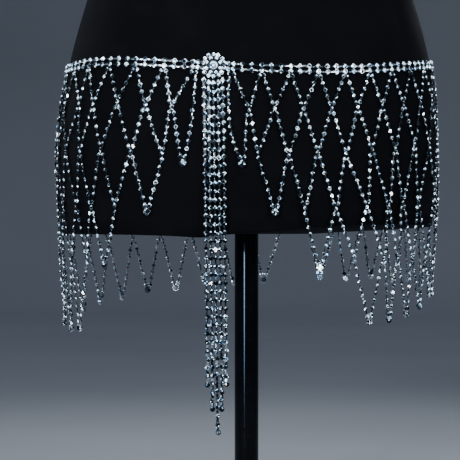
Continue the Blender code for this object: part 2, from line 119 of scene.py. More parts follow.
# Joints that hang off the even net: side, row and column, and how far along and down
STRAY_JOINTS = {
    (1, 3, 4.5): (0.0025, 0.002), (1, 3, 5.5): (0.0070, 0.003), (1, 3, 6.5): (0.0050, 0.006),
    (1, 3, 7.5): (-0.0030, 0.004), (1, 3, 8.5): (-0.0060, 0.007), (1, 4, 4.0): (0.0010, 0.001),
    (1, 4, 5.0): (0.0080, -0.003), (1, 4, 6.0): (0.0135, 0.003), (1, 4, 7.0): (0.0055, 0.007),
    (1, 4, 8.0): (0.0000, 0.011), (1, 4, 9.0): (-0.0010, 0.014), (1, 5, 5.5): (0.0135, 0.002),
    (1, 5, 6.5): (0.0110, 0.005), (1, 5, 7.5): (0.0085, 0.005), (1, 5, 8.5): (0.0055, 0.003),
    (1, 5, 9.5): (0.0030, -0.003), (1, 2, 1.0): (0.0031, 0.0061),
    (-1, 2, 1.0): (-0.0022, 0.0063), (1, 1, 1.5): (0.0030, 0.0020),
    (-1, 1, 1.5): (0.0030, 0.0015), (-1, 1, 5.5): (-0.0050, -0.001),
    (-1, 2, 2.0): (-0.0030, 0.002), (-1, 2, 3.0): (-0.0020, 0.001),
    (-1, 3, 2.5): (-0.0025, 0.001), (-1, 3, 5.5): (-0.0040, 0.000),
    (-1, 4, 4.0): (0.0005, -0.003), (-1, 4, 5.0): (-0.0030, -0.006),
    (-1, 5, 5.5): (0.0030, -0.001),
}
FIRST_TIP_SHIFT = 0.30
LONG_STRAND = ((0, 1.0), (2, 1.0))
LONG_STRAND_SWING = 3
ROSETTE_ALONG = -0.075
ROSETTE_RADIUS = 0.0106
ROSETTE_PLATE = 0.0014
TASSEL_SPACING = 0.0039
TASSEL_HEAD_ARC = 0.0126
TASSEL_TIP_HEIGHTS = (0.1200, 0.1000, 0.0800, 0.1000, 0.1200)
TASSEL_SWAY = 0.0035
SPOT_REACH = 0.3
SPOT_STEP, DRAPE_STEP = 0.003, 0.0015
BELT_END_LENGTH = 0.0020
CLASP_STAND_OFF = 0.0035
CLASP_RING = (0.0024, 0.0006)
CLASP_WIRE = 0.0006
CLASP_CLAW_HEIGHT = 0.0027
SEAM = 0.0003

# Stones on the chain
STONE_PITCH, TASSEL_PITCH = 0.0066, 0.0070
BELT_ROW = 0.0023
BELT_STONES_A_CELL = 3
APEX_STONES_DROP = 0.0065
JOINT_REACH = 0.0046
TIP_PAIR_RISE, TIP_PAIR_SIZE = 0.0027, 1.18
# The tips' large stones: how far down they sit, their size, and how much darker they are painted
TIP_STONE_SINK, TIP_STONE_SIZE, TIP_STONE_LEVEL = 0.0024, 1.72, -0.16
CLUSTER_COLUMNS = (0.0124, 0.0167)

# Share of the links given a painted highlight, the brightest tone: in each tassel strand
# down to a height, in the net near the rosette and away from it, how far that reaches from
# the rosette, which is so far out from the axis, and in the belt
BRIGHT_STRANDS = np.array((0.95, 0.80, 0.05, 0.05, 0.15))
BRIGHT_DOWN_TO = 0.305
BRIGHT_NEAR_ROSETTE = 0.95
BRIGHT_ELSEWHERE = 0.10
BRIGHT_REACH = 0.036
BRIGHT_DEPTH = 0.13
BRIGHT_IN_BELT = 0.55
# How much wider a link is where the links have a painted highlight
BRIGHT_WIDER = 0.75
# Painted light and shade by height: the tones of the net's cups, painted brighter below the
# form, where they are seen from behind, and of the tassel's cups, painted darker towards its
# foot, and how much darker or brighter the tassel's stones are painted
NET_CUPS_PAINTED_LIGHT = ((0.245, 0.260), (0.62, 0.32))
TASSEL_CUPS_PAINTED_SHADE = ((0.10, 0.24, 0.36), (0.10, 0.18, 0.60))
TASSEL_STONES_PAINTED_LIGHT = ((0.10, 0.24, 0.30, 0.36, 0.375), (-0.36, -0.28, -0.02, 0.12, 0.36))
# The strands twist and bunch towards the tassel's foot, by height: there the cups hang
# looser, the links look wider and more of them get a painted highlight
TASSEL_TWISTED = ((0.135, 0.190), (1.0, 0.0))
TASSEL_LOOSE = (0.07, 0.32)
TWISTED_WIDER = 0.8
TWISTED_BRIGHT = 0.25
# Painted brightness of the stones elsewhere, 0 being even; in the clusters, its middle and
# half the difference between the sides, one side painted brighter. Mean tone of the metal,
# painted lighter or darker for each piece, and how loosely the cups hang, radians
NET_LEVEL, NET_LOOSE = -0.05, 0.10
BELT_LEVEL, BELT_METAL, BELT_LOOSE = 0.08, 0.6, 0.04
CLUSTER_LEVEL, CLUSTER_LEVEL_SWING, CLUSTER_METAL, CLUSTER_LOOSE = 0.34, 0.14, 0.95, 0.06

# Painted brightness of a stone's facets, 0 to 1, standing in for the light that the cut glass
# reflects. Each stone is painted as lit from above, give or take a turn in radians. Pairs are
# a mean and a spread from stone to stone
LIT_FROM = (-math.pi / 2, 1.1)
STONE_LIGHT = (0.40, 0.13)
LIT_SIDE = 0.95
FACET_SPREAD = 0.22
TABLE_LIGHT = (-0.08, 0.20)
# What brighter stones have more of: spread, and the ceiling under the flashes
LIVELIER = 1.5
CEILING, CEILING_RISE, CEILING_LEVELS = 0.91, 0.12, (0, 0.3)
# Odds that a facet gets a painted glint that glows, at level 0 and more with the level, and
# how brightly
FLASH_ODDS, FLASH_ODDS_RISE, FLASH = 0.03, 0.12, 0.95
# Odds that a stone gets painted sparkle, and share of its facets that do. Share of stones
# with painted fire, tinted glints
SPARKLE_ODDS, SPARKLE_SHARE = 0.03, 0.35
FIRE_SHARE = 0.35
# Tone of the links, painted dark as shade, and of the cups, as a mean and a spread
LINK_TONE, LINK_TONE_LIMIT = (0.05, 0.14), 0.5
CUP_TONE_SPREAD = 0.18
# What is added to a chain's seed for its links' tilts, its tones and its facets
TILT_SEED, TONE_SEED, LIGHT_SEED = 900, 700, 500

# One cup with its stone, and one link
CUP_SIDES = 8
CUP_DEPTH = 0.0013
CUP_FOOT_SHARE = 0.74
CUP_WALL = 0.0003
CUP_SINK = 0.0004
CLAW_HEIGHT = 0.00045
CLAW_TIP_SHARE = 0.84
CLAW_FACE_REACH = 0.0002
STONE_RADIUS = 0.00172
TABLE_RADIUS = 0.00098
CROWN_HEIGHT = 0.00075
GIRDLE_SINK = 0.00005
TABLE_RISE = 0.00012
STONE_BACK = 0.0003
STONE_BACK_SHARE = 0.6
LINK_END = 0.12
LINK_END_SHARE = 0.6
LINK_LEVEL = 0.0009
LINK_TILT = 0.16
SHORTEST_LINK = 0.0012
LINK_OVERLAP_SHARE = 0.9
# Width and thickness of the links, and size of the cups
NET_LINK = (0.0011, 0.0007)
BELT_LINK = (0.0017, 0.0009)
TASSEL_LINK = (0.0014, 0.0008)
NET_CUP_SIZE = 1.0
BELT_CUP_SIZE = 1.22
TASSEL_CUP_SIZE = 1.12
TASSEL_LAST_CUP = 1.15
CLUSTER_CUP_SIZE = 1.16

# Rosette's plate, and the collar and shape of its large stone. A step is how far in, and up
PLATE_RADIUS = 0.0088
PLATE_STEPS = ((0.0006, -0.0004), (0.0026, 0.0003))
COLLAR_RADIUS = 0.0042
COLLAR_HEIGHT = 0.0024
COLLAR_TAPER = 0.97
COLLAR_STEPS = ((0.0004, 0.0004), (0.0006, -0.0014))
LARGE_SIDES = 16
LARGE_STONE_RADIUS = 0.0031
LARGE_SHOULDER = 0.0022
LARGE_TABLE_RADIUS = 0.0012
LARGE_MIDDLE = 0.0024
LARGE_CROWN = (0.0009, 0.0004)
LARGE_TABLE_RISE = 0.0001
# Rings of stones round it: name, nodes, circle, stones, size, where the first one sits as a
# share of the gap between two, looseness, seed, painted brightness of the stones and the
# metal's mean tone, painted bright
ROSETTE_RINGS = (
    ("rosette_rim", ("rosette_rim",), 0.0092, 14, 0.98, 0, 0.14, 50, 0.28, 0.90),
    ("rosette_petals", tuple(f"rosette_stone_{i}" for i in range(1, 9)),
     0.0062, 8, 0.92, 0.5, 0.10, 51, 0.26, 0.90),
)
# Painted brightness of the large stone's facets by how far they are from its middle, a
# bright middle, a darker ring and a bright edge, with its spread, its ceiling and how much
# painted fire there is
LARGE_RINGS = ((0.0010, 0.0014, 0.0021, 0.0025), (0.90, 0.12, 0.20, 0.85))
LARGE_SPREAD, LARGE_CEILING, LARGE_FIRE, LARGE_SEED = 0.16, 0.93, 0.4, 53
# Tassel's head: how much lower it hangs than in the solids, how far up its short links
# start, and how far below the rosette's middle the links that all get a painted highlight end
TASSEL_HEAD_SINK = 0.0006
HEAD_LINK_RISE = 0.0046
HEAD_LINKS_BELOW = 0.0143

# Belt's end bar and the clasp's claw, which is a ring of unit size until it is bent
BAR_DEPTH = 0.0034
BAR_EDGE = 0.0005
RING_STEPS = {"major_segments": 36, "minor_segments": 10}
CLAW_TUBE = 0.2
CLAW_SWELL = 0.45
CLAW_FLATNESS = 0.9

# Form and stand in the scene: the cylinder that the form starts as, the share of its floor
# round the socket, and the pole's eased ends
BLANK_RADIUS = 0.15
BLANK_FLOOR_SHARE = 0.4
BLANK_WALL_FROM = 0.14
POLE_EDGE = 0.0008
# Degrees up to which an edge is smooth
SOFT, POLE_SOFT, CUP_SOFT, COVE_SOFT, ALL_SOFT = 35, 15, 50, 30, 180
# How far up or down a face has to look to be picked, and to be a stone's table or crown
FACING, FLAT = 0.9, 0.99
TABLE_FACING, CROWN_FACING = 0.95, 0.1

# Studio: the cove, and the air
COVE_RADIUS = 3.6
COVE_CURVE = 0.8
COVE_WALL = 2.6
COVE_STEPS = 8
AIR_COLOUR, AIR_STRENGTH = (0.29, 0.33, 0.39, 1), 0.65
DAYLIGHT, BLUE_SKY = (0.93, 0.97, 1.0), (0.36, 0.66, 1.0)
# Softboxes: name, azimuth from the front towards +X, distance, height, width, tall, watts,
# spread in degrees, colour, height that it is aimed at
SOFTBOXES = (
    ("key", -45, 1.7, 0.66, 0.45, 0.45, 2.4, 70, DAYLIGHT, 0.3),
    ("fill", 34, 1.8, 0.80, 0.5, 0.6, 1.4, 70, DAYLIGHT, 0.3),
    ("strip", -41, 0.36, 0.106, 0.07, 0.24, 0.024, 12, BLUE_SKY, 0.106),
    ("back_left", -140, 1.7, 1.0, 0.5, 0.5, 1.0, 70, DAYLIGHT, 0.3),
    ("back_right", 130, 1.7, 1.0, 0.5, 0.5, 1.0, 70, DAYLIGHT, 0.3),
    ("top", -15, 0.4, 1.9, 0.7, 0.7, 0.7, 70, DAYLIGHT, 0.3),
)

# Camera: where the photograph was taken from
CAMERA_AZIMUTH = -20
CAMERA_DISTANCE = 1.6
CAMERA_HEIGHT = 0.2505
CAMERA_LENS = 138.05
CAMERA_SENSOR = 36
CAMERA_SHIFT = -0.0359


# ---- Layout: the same flat plan and drape as the solids

def through_rows(rows, height):
    """A table's sizes at heights, on a smooth curve through its rows."""
    table = np.array(rows)
    heights = table[:, 0]
    height = np.clip(np.asarray(height, float), heights[0], heights[-1])
    low = np.clip(np.searchsorted(heights, height) - 1, 0, len(rows) - 2)
    slopes = np.gradient(table[:, 1:], heights, axis=0)
    span = (heights[low + 1] - heights[low])[..., None]
    t = (height - heights[low])[..., None] / span
    return (
        table[low, 1:] * (2 * t**3 - 3 * t**2 + 1)
        + slopes[low] * span * (t**3 - 2 * t**2 + t)
        + table[low + 1, 1:] * (3 * t**2 - 2 * t**3)
        + slopes[low + 1] * span * (t**3 - t**2)
    )


def outline(angle, sizes, out=0.0):
    """Points of the rounded section. Angle 0 is the front, and it grows towards +X."""
    half_width = sizes[..., 0] + out
    depth = np.where(np.cos(angle) > 0, sizes[..., 1], sizes[..., 2]) + out
    across = np.abs(np.sin(angle)) / half_width
    along = np.abs(np.cos(angle)) / depth
    radius = (across**FULLNESS + along**FULLNESS) ** (-1 / FULLNESS)
    return radius * np.sin(angle) + sizes[..., 3], -radius * np.cos(angle)


def girth_table(steps=1440):
    """Angles all round, and how far along the girth from the middle of the front each lies."""
    angles = np.linspace(-math.pi, math.pi, steps + 1)
    sizes = through_rows(FORM_ROWS, np.full(steps + 1, GIRTH_LEVEL - FORM_BOTTOM))
    x, y = outline(angles, sizes, ON_FORM)
    lengths = np.concatenate([[0], np.cumsum(np.hypot(np.diff(x), np.diff(y)))])
    return angles, lengths - lengths[steps // 2]


GIRTH_ANGLES, GIRTH_LENGTHS = girth_table()
HALF_GIRTH = float(GIRTH_LENGTHS[-1] - GIRTH_LENGTHS[0]) / 2
BELT_END = HALF_GIRTH - CLASP_HALF_GAP
CELL = (HALF_GIRTH - FIRST_APEX) / (CELLS + 0.5)


def angle_along(along):
    around = np.asarray(along) + ROSETTE_ALONG - GIRTH_LENGTHS[0]
    around = around % (2 * HALF_GIRTH) + GIRTH_LENGTHS[0]
    return np.interp(around, GIRTH_LENGTHS, GIRTH_ANGLES)


def drape_sizes(height):
    """Section of the surface that the chain's back lies on, touching the form or hanging free."""
    above = np.asarray(height) - FORM_BOTTOM
    on_form = through_rows(FORM_ROWS, above) + ON_FORM_SIZES
    free = through_rows(FREE_ROWS, above)
    return np.where((above >= FREE_HANG_FROM)[..., None], on_form, free)


def place(along, drop, out=0.0):
    """Points of the worn chain for places in its flat layout, out from the form."""
    angle = angle_along(along)
    hung = through_rows(HANG_ROWS, np.degrees(angle))
    height = hung[..., 0] - np.asarray(drop) * hung[..., 1]
    x, y = outline(angle, drape_sizes(height), out)
    return np.stack([x, y, height], axis=-1)


class Spot:
    """A flat working plane on the form at one place along the chain, upright and facing out."""

    def __init__(self, along):
        before, after = place(along - SPOT_STEP, 0), place(along + SPOT_STEP, 0)
        self.turn = math.atan2(after[1] - before[1], after[0] - before[0])
        self.angle = float(angle_along(along))
        self.level = float(place(along, 0)[2])
        self.tangent = np.array((math.cos(self.turn), math.sin(self.turn), 0))
        self.outward = np.array((math.sin(self.turn), -math.cos(self.turn), 0))
        self.beside = float(place(along, 0) @ self.tangent)

    def reach(self, across, height):
        """How far out the chain's back lies, beside the spot's middle, at a height."""
        angles = np.linspace(self.angle - SPOT_REACH, self.angle + SPOT_REACH, 13)
        x, y = outline(angles, drape_sizes(np.full(13, height)))
        sideways = x * self.tangent[0] + y * self.tangent[1] - self.beside
        return float(np.interp(across, sideways, x * self.outward[0] + y * self.outward[1]))

    def point(self, across, depth, height):
        flat = self.tangent * (self.beside + across) + self.outward * depth
        return np.array((flat[0], flat[1], height))

    def axes(self):
        """Across, down and outwards, for pieces that lie flat on the spot."""
        return np.array((-self.tangent, (0, 0, -1), self.outward))


def unevenness(row, column, side):
    if (side, row, column) in STRAY_JOINTS:
        return STRAY_JOINTS[side, row, column]
    phase = 12.9 * column + 7.3 * row + 2.1 * side
    return UNEVEN * math.sin(phase), UNEVEN * math.cos(1.7 * phase)


def net_joints(side):
    """Every joint of one half of the net: its kind, place along the girth and drop."""
    joints = {}
    for apex in range(1, CELLS + 2):
        joints[0, float(apex)] = ("apex", apex, 0.0)
    last_row = len(NET_ROWS)
    for row, (drop, tip, first) in enumerate(NET_ROWS, start=1):
        last = CELLS + 1 if row % 2 == 0 else CELLS + 0.5
        column = first
        while column <= last:
            joints[row, column] = ("tip" if row == last_row else "joint", column, drop)
            column += 1
        if tip is not None:
            joints[row, tip] = ("tip", tip + (FIRST_TIP_SHIFT if tip == 1 else 0), drop)
    placed = {}
    for (row, column), (kind, across, drop) in joints.items():
        shift, sink = unevenness(row, column, side) if row else (0, 0)
        placed[row, column] = (kind, FIRST_APEX + (across - 1) * CELL + shift, drop + sink)
    return placed


def net_strands(joints):
    """Pairs of joints that a strand connects, upper one first, with the side it leaves by."""
    strands = [(*LONG_STRAND, "front")]
    for (row, column), (kind, _, _) in joints.items():
        if kind == "tip":
            continue
        for name, step in (("front", -0.5), ("back", 0.5)):
            below = (row + 1, column + step)
            if below in joints:
                strands.append(((row, column), below, name))
    return strands


def strand_offset(sides, edge):
    if len(sides) < 2:
        return 0.0
    return -CUP_WIDTH / 2 if edge == "front" else CUP_WIDTH / 2


# ---- Chain plans: where every cup and link goes

class Chain:
    """Cups and links gathered for one piece of the jewellery."""

    def __init__(self):
        self.cups = []
        self.links = []

    def cup(self, along, drop, lean=(0.0, 1.0), size=NET_CUP_SIZE):
        self.cups.append((along, drop, *lean, size))

    def link(self, start, end):
        self.links.append((*start, *end))

    def strand(self, start, end, pitch, swing=1):
        """Cups between two ends that are cups already, with a link in each gap."""
        start, end = np.array(start), np.array(end)
        steps = max(1, round(float(np.hypot(*(end - start))) / pitch))
        shares = np.linspace(0, 1, steps + 1)
        spots = np.stack([
            start[0] + (end[0] - start[0]) * shares**swing,
            start[1] + (end[1] - start[1]) * shares,
        ], axis=1)
        for before, here, after in zip(spots, spots[1:], spots[2:]):
            lean = (after - before) / np.hypot(*(after - before))
            self.cup(*here, lean)
        for before, after in zip(spots, spots[1:]):
            self.link(before, after)

    def laid(self, gauge):
        """Places, axes and sizes of the cups and of the links, on the drape."""
        cups, links = np.array(self.cups), np.array(self.links)
        spots, starts, ends = cups[:, :2], links[:, :2], links[:, 2:]
        axes = drape_axes(spots, cups[:, 2:4])
        link_axes = drape_axes((starts + ends) / 2, ends - starts)
        links = between(place(*starts.T), place(*ends.T), link_axes, gauge)
        return (place(*spots.T), axes, np.repeat(cups[:, 4:], 3, axis=1)), links


def normalized(vectors):
    return vectors / np.linalg.norm(vectors, axis=-1, keepdims=True)


def drape_axes(spots, lean):
    """Across, down the chain and outwards, for places in the flat layout."""
    def change(step):
        return place(*(spots + step).T) - place(*(spots - step).T)

    ahead = change(lean / np.hypot(*lean.T)[:, None] * DRAPE_STEP)
    outward = normalized(np.cross(change((0, DRAPE_STEP)), change((DRAPE_STEP, 0))))
    across = normalized(np.cross(ahead, outward))
    return np.stack([across, np.cross(outward, across), outward], axis=1)


def between(starts, ends, axes, gauge):
    """Links of a width and thickness that reach from one cup's wall to the next."""
    lengths = np.linalg.norm(ends - starts, axis=1)
    reach = np.maximum(lengths - CUP_WIDTH * LINK_OVERLAP_SHARE, SHORTEST_LINK)
    sizes = np.stack([
        np.full_like(reach, gauge[0]), reach, np.full_like(reach, gauge[1])
    ], axis=1)
    return (starts + ends) / 2 + axes[:, 2] * LINK_LEVEL, axes, sizes


def loosened(axes, amount, seed):
    """The same axes with each cup tilted and twisted a little, as loose chain hangs."""
    chance = np.random.default_rng(seed)
    tilts = chance.normal(0, amount, (len(axes), 3))
    across = normalized(axes[:, 0] + axes[:, 2] * tilts[:, 0:1] + axes[:, 1] * tilts[:, 1:2] * 0.5)
    outward = axes[:, 2] - axes[:, 0] * tilts[:, 0:1] + axes[:, 1] * tilts[:, 2:3]
    outward = outward - across * np.sum(across * outward, axis=1, keepdims=True)
    outward = normalized(outward)
    return np.stack([across, np.cross(outward, across), outward], axis=1)


def net_plan(side):
    """The cups and links of one half of the net, with the larger stones on its tips."""
    joints = net_joints(side)
    strands = net_strands(joints)
    leaving = {key: [] for key in joints}
    arriving = {key: [] for key in joints}
    for upper, lower, edge in strands:
        leaving[upper].append(edge)
        arriving[lower].append("back" if edge == "front" else "front")
    arriving[LONG_STRAND[1]] = ["front", "back"]
    chain = Chain()

    def offsets(sides):
        return (0.0,) if len(sides) < 2 else (-CUP_WIDTH / 2, CUP_WIDTH / 2)

    def level_above(key):
        kind, _, drop = joints[key]
        return drop - (TIP_PAIR_RISE if kind == "tip" else JOINT_REACH)

    def level_below(key):
        kind, _, drop = joints[key]
        return APEX_STONES_DROP if kind == "apex" else drop + JOINT_REACH

    for key, (kind, middle, drop) in joints.items():
        heart = (side * middle, drop)
        if kind != "apex":
            for offset in offsets(arriving[key]):
                spot = (side * (middle + offset), level_above(key))
                chain.cup(*spot, size=TIP_PAIR_SIZE if kind == "tip" else NET_CUP_SIZE)
                chain.link(spot, (heart[0], drop + TIP_STONE_SINK * (kind == "tip")))
        if kind == "tip":
            chain.cup(heart[0], drop + TIP_STONE_SINK, size=TIP_STONE_SIZE)
            continue
        if kind == "joint":
            chain.cup(*heart)
        for offset in offsets(leaving[key]):
            spot = (side * (middle + offset), level_below(key))
            chain.cup(*spot)
            if kind == "joint":
                chain.link(heart, spot)

    for upper, lower, edge in strands:
        other = "back" if edge == "front" else "front"
        swing = 1
        if (upper, lower) == LONG_STRAND:
            other, swing = "front", LONG_STRAND_SWING
        start = joints[upper][1] + strand_offset(leaving[upper], edge)
        end = joints[lower][1] + strand_offset(arriving[lower], other)
        chain.strand(
            (side * start, level_below(upper)), (side * end, level_above(lower)),
            STONE_PITCH, swing,
        )
    return chain


def belt_plan(side):
    """Two rows of cup chain from the cluster beside the rosette to the clasp."""
    chain = Chain()
    step = CELL / BELT_STONES_A_CELL
    spots = [CLUSTER_COLUMNS[-1]]
    along = FIRST_APEX + step
    while along < BELT_END - CUP_WIDTH / 2:
        spots.append(along)
        along += step
    for drop in (-BELT_ROW, BELT_ROW):
        for along in spots[1:]:
            chain.cup(side * along, drop, (side, 0.0), BELT_CUP_SIZE)
        for before, after in zip(spots, spots[1:]):
            chain.link((side * before, drop), (side * after, drop))
    return chain


def cluster_plan(side):
    """The block of four stones that joins the belt to the rosette."""
    chain = Chain()
    for drop in (-BELT_ROW, BELT_ROW):
        for along in CLUSTER_COLUMNS:
            chain.cup(side * along, drop, (side, 0.0), CLUSTER_CUP_SIZE)
        first = CLUSTER_COLUMNS[0]
        chain.link((side * (first - CUP_WIDTH), drop), (side * first, drop))
    return chain


def tassel_depth(spot, across, height):
    levels = np.linspace(max(height, FORM_BOTTOM), spot.level - TASSEL_HEAD_ARC, 12)
    return max(spot.reach(across, level) for level in levels)


def tassel_laid(spot):
    """The tassel's cups and links, down five strands, and which links catch the light."""
    top = spot.level - TASSEL_HEAD_ARC - CUP_WIDTH
    lowest = min(TASSEL_TIP_HEIGHTS)
    places, axes, sizes, starts = [], [], [], []
    for i, tip in enumerate(TASSEL_TIP_HEIGHTS):
        middle = (i - 2) * TASSEL_SPACING
        arc = spot.level - math.sqrt(TASSEL_HEAD_ARC**2 - middle**2) - CUP_WIDTH / 2
        arc -= TASSEL_HEAD_SINK
        foot = tip + CUP_WIDTH / 2
        count = round((arc - foot) / TASSEL_PITCH)
        points = []
        for height in np.linspace(arc, foot, count + 1):
            sway = TASSEL_SWAY * max(0, top - height) / (top - lowest)
            depth = tassel_depth(spot, middle + sway, height)
            points.append(spot.point(middle + sway, depth, height))
        points = np.array(points)
        down = normalized(np.gradient(points, axis=0))
        across = normalized(np.cross(down, np.tile(spot.outward, (len(points), 1))))
        places.append(points)
        axes.append(np.stack([across, down, np.cross(across, down)], axis=1))
        sizes.append(np.full((len(points), 3), TASSEL_CUP_SIZE))
        sizes[-1][-1] *= TASSEL_LAST_CUP
        starts.append(np.vstack([points[0] + (0, 0, HEAD_LINK_RISE), points[:-1]]))
    cups = tuple(np.concatenate(rows) for rows in (places, axes, sizes))
    links = between(np.concatenate(starts), cups[0], cups[1], TASSEL_LINK)
    strand = np.repeat(np.arange(len(starts)), [len(points) for points in starts])
    height = links[0][:, 2]
    shine = BRIGHT_STRANDS[strand] * (height > BRIGHT_DOWN_TO)
    shine[height > spot.level - HEAD_LINKS_BELOW] = 1.0
    twisted = np.interp(height, *TASSEL_TWISTED)
    links[2][:, 0] *= 1 + BRIGHT_WIDER * shine + TWISTED_WIDER * twisted
    return cups, links, shine + TWISTED_BRIGHT * twisted


# ---- Modelling by hand: a primitive, shaped in edit mode

def start(primitive, **sizes):
    """Adds a primitive, and opens it for editing with nothing picked."""
    bpy.ops.object.select_all(action="DESELECT")
    primitive(**sizes)
    bpy.ops.object.transform_apply(location=True, rotation=True, scale=True)
    bpy.ops.object.mode_set(mode="EDIT")
    bpy.ops.mesh.select_mode(type="FACE")
    bpy.ops.mesh.select_all(action="DESELECT")
    return bpy.context.object


def start_cylinder(vertices, radius, depth, foot=0.0, turn=0.0):
    return start(
        bpy.ops.mesh.primitive_cylinder_add, vertices=vertices, radius=radius, depth=depth,
        location=(0, 0, foot + depth / 2), rotation=(0, 0, turn),
    )


def pick(obj, wanted):
    """Picks only the faces whose middle and normal pass the test."""
    bpy.ops.mesh.select_all(action="DESELECT")
    shape = bmesh.from_edit_mesh(obj.data)
    shape.normal_update()
    for face in shape.faces:
        face.select_set(bool(wanted(face.calc_center_median(), face.normal)))
    bmesh.update_edit_mesh(obj.data)


def facing_up(centre, normal):
    return normal.z > FACING


def facing_down(centre, normal):
    return normal.z < -FACING


def push(value):
    bpy.ops.mesh.extrude_region_move(TRANSFORM_OT_translate={"value": value})


def rise(height):
    push((0, 0, height))


def step_in(rim, height):
    bpy.ops.mesh.inset(thickness=rim)
    rise(height)


def scale_about(value, centre=(0, 0, 0)):
    bpy.ops.transform.resize(value=value, center_override=centre)


def taper(share):
    scale_about((share, share, 1))


def twist(degrees):
    bpy.ops.transform.rotate(
        value=math.radians(degrees), orient_axis="Z", center_override=(0, 0, 0)
    )


def done(obj):
    bpy.ops.mesh.select_all(action="SELECT")
    bpy.ops.mesh.normals_make_consistent(inside=False)
    bpy.ops.object.mode_set(mode="OBJECT")
    return obj


def dressed(piece, name, material, soft=None):
    """Names a piece and gives it its material, smooth up to an angle where one is given."""
    piece.name = piece.data.name = name
    piece.data.materials.append(material)
    if soft is not None:
        piece.data.shade_smooth()
        piece.data.set_sharp_from_angle(angle=math.radians(soft))
    return piece


def moved_to(piece, spot, centre, bent=np.array):
    """Moves a piece that was modelled facing up to its place, facing out from the spot."""
    for vertex in piece.data.vertices:
        vertex.co = Vector(bent(vertex.co) @ spot.axes() + centre)
    return piece


def model_cup():
    """A claw cup: a tapered eight-sided pot with a sunk floor and four claws."""
    cup = start_cylinder(
        CUP_SIDES, CUP_WIDTH / 2, CUP_DEPTH, turn=math.radians(180 / CUP_SIDES)
    )
    pick(cup, facing_down)
    taper(CUP_FOOT_SHARE)
    pick(cup, facing_up)
    step_in(CUP_WALL, -CUP_SINK)
    pick(cup, lambda centre, normal: (
        facing_up(centre, normal)
        and centre.z > CUP_DEPTH * FLAT
        and abs(abs(centre.x) - abs(centre.y)) < CLAW_FACE_REACH
    ))
    rise(CLAW_HEIGHT)
    taper(CLAW_TIP_SHARE)
    return done(cup)


def model_stone():
    """A cut stone: eight-sided table, a crown of triangles and a short back."""
    stone = start(
        bpy.ops.mesh.primitive_cone_add, vertices=CUP_SIDES, radius1=STONE_RADIUS,
        radius2=TABLE_RADIUS, depth=CROWN_HEIGHT,
        location=(0, 0, CUP_DEPTH + CROWN_HEIGHT / 2 - GIRDLE_SINK),
    )
    pick(stone, facing_up)
    twist(180 / CUP_SIDES)
    pick(stone, lambda centre, normal: CROWN_FACING < normal.z < TABLE_FACING)
    bpy.ops.mesh.quads_convert_to_tris(quad_method="SHORTEST_DIAGONAL")
    pick(stone, lambda centre, normal: normal.z > TABLE_FACING)
    bpy.ops.mesh.poke(offset=TABLE_RISE)
    pick(stone, facing_down)
    rise(-STONE_BACK)
    taper(STONE_BACK_SHARE)
    return done(stone)


def model_large_stone():
    """The large stone: a sixteen-sided table and two rows of crown facets."""
    stone = start(
        bpy.ops.mesh.primitive_cone_add, vertices=LARGE_SIDES, radius1=LARGE_STONE_RADIUS,
        radius2=LARGE_SHOULDER, depth=LARGE_CROWN[0], location=(0, 0, LARGE_MIDDLE),
    )
    pick(stone, facing_up)
    twist(180 / LARGE_SIDES)
    rise(LARGE_CROWN[1])
    taper(LARGE_TABLE_RADIUS / LARGE_SHOULDER)
    twist(180 / LARGE_SIDES)
    pick(stone, lambda centre, normal: abs(normal.z) < FLAT)
    bpy.ops.mesh.quads_convert_to_tris(quad_method="SHORTEST_DIAGONAL")
    pick(stone, lambda centre, normal: normal.z > FLAT)
    bpy.ops.mesh.poke(offset=LARGE_TABLE_RISE)
    return done(stone)


def model_link():
    """A link: a flattened six-sided bar of unit size with rounded ends."""
    link = start(
        bpy.ops.mesh.primitive_cylinder_add, vertices=6, radius=0.5, depth=1 - 2 * LINK_END,
        rotation=(math.radians(90), 0, 0),
    )
    for end in (-1, 1):
        pick(link, lambda centre, normal: normal.y * end > FACING)
        push((0, LINK_END * end, 0))
        scale_about((LINK_END_SHARE, 1, LINK_END_SHARE), (0, 0.5 * end, 0))
    return done(link)


def set_on_faces(mesh, name, values):
    """Keeps a value for each face in an attribute that materials can read."""
    corners = np.empty(len(mesh.polygons), dtype=np.int32)
    mesh.polygons.foreach_get("loop_total", corners)
    attribute = mesh.attributes.new(name, "FLOAT", "CORNER")
    attribute.data.foreach_set("value", np.repeat(values, corners).astype(np.float32))


def joined(name, parts, material, soft=None):
    """One mesh of many copies: parts are a unit with its copies' places, axes and sizes."""
    points, faces, base = [], [], 0
    for unit, (places, axes, sizes), *_ in parts:
        shape = np.empty(len(unit.data.vertices) * 3)
        unit.data.vertices.foreach_get("co", shape)
        shape = shape.reshape(-1, 3)
        moved = np.einsum("nvk,nkj->nvj", shape[None] * sizes[:, None, :], axes)
        moved += places[:, None, :]
        points.append(moved.reshape(-1, 3))
        corners = [tuple(face.vertices) for face in unit.data.polygons]
        for copy in range(len(places)):
            start = base + copy * len(shape)
            faces.extend(tuple(start + i for i in face) for face in corners)
        base += len(places) * len(shape)
    mesh = bpy.data.meshes.new(name)
    mesh.from_pydata(np.concatenate(points).tolist(), [], faces)
    mesh.update()
    made = bpy.data.objects.new(name, mesh)
    bpy.context.scene.collection.objects.link(made)
    return dressed(made, name, material, soft)


